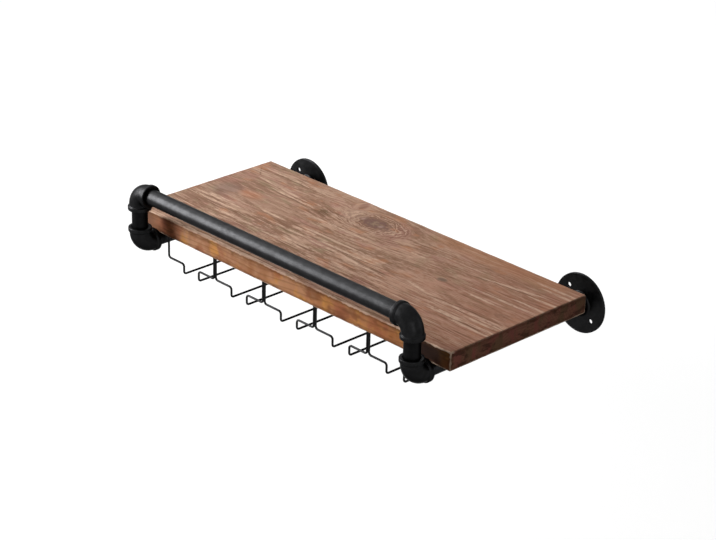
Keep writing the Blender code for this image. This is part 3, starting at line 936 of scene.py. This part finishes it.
def top_colour(tree, x, y, grain, knots, lime):
    """Brushed brown wood, greyer on the left and redder on the right."""
    depth = grain.shade * 0.42 + grain.patches * 0.28 + grain.flecks * 0.3
    depth = (depth - 0.5) * grain.lively + 0.5
    paint = Paint(tree, (141, 106, 85), (187, 152, 129), depth.ramp(0.40, 0.60))
    paint.coat(128, 99, 84, x.ramp(*GREYER_X) * 0.38)
    paint.coat(180, 122, 86, grain.tints.ramp(0.56, 0.74) * 0.55)
    paint.coat(150, 132, 104, grain.tints.ramp(0.44, 0.28) * 0.55)
    paint.coat(160, 114, 102, grain.blush.ramp(0.54, 0.72) * 0.5)
    reddish = (x + (grain.patches - 0.5) * REDDER_DRIFT).ramp(*REDDER_X)
    paint.coat(166, 114, 92, reddish * 0.6)
    warm_rear = y.ramp(*WARM_REAR_Y) * x.between(*WARM_REAR_X)
    paint.coat(178, 122, 84, warm_rear * 0.4)
    grey = ellipse(x, y, *GREY_PATCH).ramp(1.2, 0.3)
    paint.coat(126, 103, 96, grey * 0.55)
    orange = ellipse(x, y, *ORANGE_PATCH).ramp(1.2, 0.3)
    paint.coat(184, 118, 84, orange * 0.5)
    mark = ellipse(x, y, *DARK_MARK).ramp(1.2, 0.3)
    paint.coat(104, 82, 60, mark * grain.flecks.ramp(0.38, 0.56) * 0.85)
    paint.coat(108, 74, 56, grain.lines.ramp(0.47, 0.34) * grain.lively * 0.5)
    paint.coat(112, 78, 60, grain.late * grain.blotches.ramp(0.35, 0.6) * 0.4)
    dark_lines = strokes(x, grain.drawn, DARK_STROKES, DARK_HALF_WIDTH) * grain.fine.ramp(0.62, 0.46)
    paint.coat(104, 74, 56, dark_lines * 0.6)
    paint.coat(116, 88, 80, knots.heart * 0.85)
    paint.coat(164, 136, 124, knots.pale_spots * 0.55)
    paint.coat(112, 78, 68, knots.dark_rings * 0.5)
    paint.coat(134, 88, 76, knots.red_arc * 0.55)
    paint.coat(124, 82, 70, knots.small * 0.55)
    paint.coat(108, 90, 78, knots.pin * 0.75)
    paint.coat(188, 158, 136, knots.pale_arc * 0.3)
    limed = (lime * 0.82).math("MAXIMUM", knots.limed_rings * 0.45)
    paint.coat(206, 175, 151, limed)
    paint.coat(108, 75, 58, grain.hair.ramp(0.56, 0.74) * 0.45)
    return paint.socket


def side_colour(tree, x, y, grain, lime):
    """Warm oiled wood, deeper towards the right end, with painted shade over the left end and a painted
    shadow at the front right corner.
    """
    paint = Paint(tree, (196, 146, 111), (160, 105, 70), grain.shade.ramp(0.34, 0.66))
    paint.coat(188, 115, 57, x.ramp(*ORANGE_SIDE_X) * 0.6)
    paint.coat(212, 148, 76, grain.blotches.ramp(0.5, 0.66) * 0.8)
    paint.coat(168, 97, 68, grain.blush.ramp(0.50, 0.64) * 0.8)
    paint.coat(112, 70, 42, grain.late * 0.3)
    paint.coat(112, 70, 42, grain.lines.ramp(0.46, 0.35) * 0.5)
    paint.coat(220, 172, 130, lime * 0.4)
    # painted shade: the sides darker and duller towards the left end, for the soft shadow of the left
    # riser and elbows
    paint.coat(106, 72, 54, x.ramp(*SHADED_LEFT_END_X) * 0.85)
    # painted shadow of the right riser and elbows, dark beside the riser on the front right corner
    deep = x.ramp(*RISER_SHADOW_X) * x.ramp(*RISER_SHADOW_FADE_X).scaled(-0.3, 0.98)
    paint.coat(28, 8, 3, deep * y.ramp(*RISER_SHADOW_Y))
    return paint.socket


def end_colour(tree, x, y, z, grain):
    """End grain, dark with stain."""
    pores = noise_field(x / 8, y / 0.5, z / 0.5, roughness=0.6)
    saw_marks = noise_field(x / 40, y / 22, z / 2.6, detail=4, roughness=0.6)
    stains = noise_field(x / 40, y / 20, z / 9, detail=3, roughness=0.6)
    paint = Paint(tree, (146, 100, 81), (110, 72, 56), grain.late * 0.4)
    paint.coat(103, 69, 53, saw_marks.ramp(0.48, 0.60) * 0.5)
    paint.coat(150, 89, 78, grain.blush.ramp(0.48, 0.60) * 0.8)
    paint.coat(116, 91, 66, grain.tints.ramp(0.50, 0.38) * 0.8)
    paint.coat(76, 48, 37, stains.ramp(0.48, 0.64) * 0.8)
    paint.coat(70, 42, 30, pores.ramp(0.54, 0.70) * 0.5)
    return paint.socket


def edge_distance(x, y, z):
    """Millimetres to the nearest edge of the board: the middle one of the gaps to its faces."""
    gaps = [at.math("ABSOLUTE").scaled(-1, reach) for at, reach in zip((x, y, z), BOARD_HALVES)]
    low, high = gaps[0].math("MINIMUM", gaps[1]), gaps[0].math("MAXIMUM", gaps[1])
    return low.math("MAXIMUM", high.math("MINIMUM", gaps[2]))


def with_wear(tree, whole, x, y, z, facing_z):
    """A colour of the board with soil along the edges of its sides, and edges rubbed pale: more at
    the right end and low down near both ends, less along the tops of the ends."""
    edge = edge_distance(x, y, z)
    rubbed = noise_field(x / 7, y / 7, z / 7, detail=3, roughness=0.6) - 0.5
    soiled = (edge + rubbed * 6).ramp(6.5, 2.0) * facing_z.ramp(0.5, 0.1)
    whole = mixed(tree, whole, colour(84, 50, 32), soiled * 0.5)
    handled = noise_field(x / 36, y / 36, z / 36).ramp(0.42, 0.62)
    handled = handled + x.ramp(*HANDLED_X) * 0.5
    from_middle = x.math("ABSOLUTE")
    spared = from_middle.ramp(*SPARED_END_X) * z.ramp(*SPARED_END_Z)
    spared = spared * y.math("ABSOLUTE").ramp(*SPARED_END_Y)
    low_end = z.ramp(*RUBBED_LOW_Z) * from_middle.ramp(*RUBBED_LOW_X)
    wear = (edge + rubbed * 5 - low_end * 0.8).ramp(2.2, 0.7) * handled.scaled(0.4, 0.25)
    return mixed(tree, whole, colour(226, 196, 172), wear * spared.scaled(-0.85, 1))


def wood_material():
    """A flat-sawn plank, brushed and limed on top, with warm oiled sides, dark ends and pale worn
    edges."""
    made, tree, shader = new_material("limed_plank")
    shader.inputs["Specular IOR Level"].default_value = WOOD_GLOSS
    x, y, z = millimetres(tree)
    facing = tree.nodes.new("ShaderNodeTexCoord").outputs["Normal"]
    facing_x, _, facing_z = separated(tree, facing)
    upward = facing_z.ramp(0.35, 0.8)
    grain = plank_grain(x, y, z)
    knots = plank_knots(x, y, z)
    lime = lime_share(x, y, grain, knots)

    sides = side_colour(tree, x, y, grain, lime)
    ends = end_colour(tree, x, y, z, grain)
    whole = mixed(tree, sides, top_colour(tree, x, y, grain, knots, lime), upward)
    whole = mixed(tree, whole, ends, facing_x.math("ABSOLUTE").ramp(0.45, 0.85))
    whole = with_wear(tree, whole, x, y, z, facing_z)
    tree.links.new(whole, shader.inputs["Base Color"])

    rough = (grain.fine - 0.5) * 0.25 + lime * 0.06 + upward * 0.06 + WOOD_ROUGHNESS
    tree.links.new(rough.socket, shader.inputs["Roughness"])
    ridges = grain.broad * 0.5 + grain.fine * 0.5 + grain.hair * 0.25 + grain.late * 0.15 - lime * 0.35
    relief(tree, shader, ridges * upward.scaled(0.75, 0.25), WOOD_RELIEF)
    return made


def metal_material(name, reflection, roughness, unevenness, grain, grit):
    """Blackened metal: the share of light that it reflects, its roughness and how uneven that is,
    the size of its grain in millimetres and how far that stands up in metres."""
    made, tree, shader = new_material(name)
    shader.inputs["Metallic"].default_value = 1
    shader.inputs["Specular Tint"].default_value = (0.5, 0.5, 0.5, 1)

    def black(share):
        level = reflection * share
        return (level, level, level * METAL_BLUE, 1)

    x, y, z = millimetres(tree, METAL_SPREAD)

    def even_noise(cell, detail):
        return noise_field(x / cell, y / cell, z / cell, detail, roughness=0.6)

    skin = even_noise(grain, detail=3)
    cloud = even_noise(grain * 6, detail=3)
    speck = even_noise(grain * 0.3, detail=2)
    skin_colour = mixed(tree, black(0.8), black(1.2), cloud.ramp(0.3, 0.7))
    skin_colour = mixed(tree, skin_colour, black(2.2), speck.ramp(0.60, 0.78) * 0.6)
    # painted shade: the more a face points down, the blacker it is made
    _, _, facing_up = separated(tree, tree.nodes.new("ShaderNodeNewGeometry").outputs["Normal"])
    skin_colour = mixed(tree, black(0.4), skin_colour, facing_up.ramp(-0.8, 0))
    tree.links.new(skin_colour, shader.inputs["Base Color"])
    rough = (cloud - 0.5) * unevenness + (skin - 0.5) * unevenness + roughness
    tree.links.new(rough.socket, shader.inputs["Roughness"])
    relief(tree, shader, cloud * 2 + skin * 0.7 + speck * 0.3, grit)
    return made


def white_share(tree):
    """1 for rays that show the background: those of the camera, of reflections and through glass."""
    path = tree.nodes.new("ShaderNodeLightPath")
    seen = Field(tree, path.outputs["Is Camera Ray"])
    for kind in ("Is Glossy Ray", "Is Transmission Ray"):
        seen = seen.math("MAXIMUM", Field(tree, path.outputs[kind]))
    return seen


def floor_material():
    """A white floor that keeps the object's shadow, and lets a camera below it see the underside."""
    made, tree, shader = new_material("studio_floor")
    tree.nodes.remove(shader)
    paper = tree.nodes.new("ShaderNodeBsdfDiffuse")
    x, y, z = millimetres(tree)
    grain = noise_field(x, y, z)
    darker, lighter = [(grey, grey, grey, 1) for grey in FLOOR_GREYS]
    sheet = mixed(tree, darker, lighter, grain)
    tree.links.new(sheet, paper.inputs["Color"])
    glow = tree.nodes.new("ShaderNodeEmission")
    # weaker below the object, where lamps add more, so that the shadow isn't lost in white
    far = ellipse(x, y, (0, 0), 1, 1).ramp(*FLOOR_CHANGE)
    strength = white_share(tree) * (far * (FLOOR_FAR_GLOW - FLOOR_GLOW) + FLOOR_GLOW)
    tree.links.new(strength.socket, glow.inputs["Strength"])
    shown = tree.nodes.new("ShaderNodeAddShader")
    tree.links.new(paper.outputs[0], shown.inputs[0])
    tree.links.new(glow.outputs[0], shown.inputs[1])
    open_below = tree.nodes.new("ShaderNodeMixShader")
    below = tree.nodes.new("ShaderNodeNewGeometry").outputs["Backfacing"]
    tree.links.new(below, open_below.inputs[0])
    tree.links.new(shown.outputs[0], open_below.inputs[1])
    tree.links.new(tree.nodes.new("ShaderNodeBsdfTransparent").outputs[0], open_below.inputs[2])
    tree.links.new(open_below.outputs[0], tree.nodes["Material Output"].inputs["Surface"])
    return made


# Pieces


def add_piece(node, mesh, material, location=(0, 0, 0), rotation=(0, 0, 0)):
    """A piece that stands in for one solid, in its place."""
    obj = linked(node + "_form", mesh)
    obj.matrix_world = Matrix.LocRotScale(Vector(location), Euler(rotation), None)
    if not mesh.materials:
        mesh.materials.append(material)
    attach(obj, "root")
    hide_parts(node)


def add_brackets(iron, tube, nipple, steel):
    """Both pipe brackets with their straps, and the rail between them."""
    flange, elbow, strap = flange_mesh(), elbow_mesh(), strap_mesh()
    front_end = ELBOW_Y + ELBOW_TO_PIPE_END
    support = pipe_mesh(-SUPPORT_WALL_SETBACK - front_end)
    riser = pipe_mesh(RAIL_Z - 2 * ELBOW_TO_PIPE_END)
    for side, x, over in (("left", -SUPPORT_X, (pi, 0, 0)), ("right", SUPPORT_X, (0, pi, 0))):
        pipe_at, riser_at = (x, front_end, 0), (x, ELBOW_Y, ELBOW_TO_PIPE_END)
        low, high = (x, ELBOW_Y, 0), (x, ELBOW_Y, RAIL_Z)
        add_piece(f"{side}_wall_flange", flange, iron, (x, 0, 0), (pi / 2, 0, 0))
        add_piece(f"{side}_support_pipe", support, tube, pipe_at, (-pi / 2, 0, 0))
        add_piece(f"{side}_lower_elbow", elbow, iron, low, (0, 0, pi / 2))
        add_piece(f"{side}_riser_nipple", riser, nipple, riser_at)
        add_piece(f"{side}_upper_elbow", elbow, iron, high, over)
        for end, y in strap_depths():
            add_piece(f"{side}_{end}_pipe_strap", strap, steel, (x, y, 0))
    half = SUPPORT_X - ELBOW_TO_PIPE_END
    rail = pipe_mesh(2 * half)
    add_piece("front_rail", rail, tube, (-half, ELBOW_Y, RAIL_Z), (0, pi / 2, 0))


def add_holders(wire, steel):
    """The glass holders with their rear clips."""
    holder, clip = holder_mesh(), clip_mesh()
    for number, x in holder_middles():
        name = f"glass_holder_{number}"
        clip_at = (x, HOLDER_REAR, WIRE_SEAT_Z)
        add_piece(name, holder, wire, (x, 0, 0))
        add_piece(f"{name}_rear_clip", clip, steel, clip_at, (0, 0, pi / 2))


def add_screws(steel):
    """The screws of straps and holders, each turned a little further than the last."""
    screw = screw_mesh()
    for index, (node, seat) in enumerate(screw_seats().items()):
        add_piece(node, screw, steel, seat, (0, 0, index * SCREW_TURN))


def add_pieces():
    """Every piece of the rack, with its material."""
    wood = wood_material()
    iron = metal_material("cast_black_iron", *CAST_IRON)
    tube = metal_material("satin_black_pipe", *SATIN_PIPE)
    # the riser nipples' black is darkened as painted shade
    nipple = metal_material("dull_shaded_black_pipe", *DULL_SHADED_PIPE)
    wire = metal_material("satin_black_wire", *SATIN_WIRE)
    steel = metal_material("blackened_steel", *BLACKENED_STEEL)
    add_piece("shelf_board", plank_mesh(), wood, BOARD_MIDDLE)
    add_brackets(iron, tube, nipple, steel)
    add_holders(wire, steel)
    add_screws(steel)


# Studio


def add_light(name, azimuth, elevation, lean, distance, width, height, level):
    """A soft panel that faces the object, and leans by an angle about that direction. Azimuth 0
    stands before the board and 90 at its right end. At level 1 it alone shows a colour that faces
    it about as it is written. A panel for sheen only shows in gloss, and lights nothing dull."""
    lamp = bpy.data.lights.new(name, "AREA")
    lamp.shape = "RECTANGLE"
    lamp.size, lamp.size_y = width, height
    lamp.energy = level * pi**2 * distance**2
    a, e = radians(azimuth), radians(elevation)
    way = Vector((sin(a) * cos(e), -cos(a) * cos(e), sin(e)))
    obj = linked(name, lamp)
    obj.location = BOARD_MIDDLE + way * distance
    turn = way.to_track_quat("Z", "Y") @ Euler((0, 0, radians(lean))).to_quaternion()
    obj.rotation_euler = turn.to_euler()
    obj.visible_camera = False
    obj.visible_diffuse = name not in SHEEN_ONLY


def add_floor():
    """A wide floor of one face."""
    floor = bpy.data.meshes.new("studio_floor")
    signs = ((-1, -1), (1, -1), (1, 1), (-1, 1))
    corners = [(s * FLOOR_REACH, t * FLOOR_REACH, -FLOOR_DEPTH) for s, t in signs]
    floor.from_pydata(corners, [], [(0, 1, 2, 3)])
    floor.materials.append(floor_material())
    linked("studio_floor", floor)


def add_world():
    """Surroundings that look white, and give the object only a little light."""
    world = bpy.data.worlds.new("studio")
    world.use_nodes = True
    tree = world.node_tree
    strength = white_share(tree).scaled(1 - WORLD_LIGHT, WORLD_LIGHT)
    background = tree.nodes["Background"]
    background.inputs["Color"].default_value = (1, 1, 1, 1)
    tree.links.new(strength.socket, background.inputs["Strength"])
    bpy.context.scene.world = world


def add_camera():
    """The photograph's camera."""
    lens = bpy.data.cameras.new("photo_camera")
    lens.lens = CAMERA_LENS
    camera = linked("photo_camera", lens)
    camera.location = CAMERA_PLACE
    camera.rotation_euler = [radians(turn) for turn in CAMERA_TURN]
    bpy.context.scene.camera = camera


def add_studio():
    """Lights, floor, surroundings and camera."""
    for name, place in PANELS.items():
        add_light(name, *place)
    add_floor()
    add_world()
    add_camera()
    bpy.context.scene.view_settings.view_transform = "Standard"


add_pieces()
add_studio()
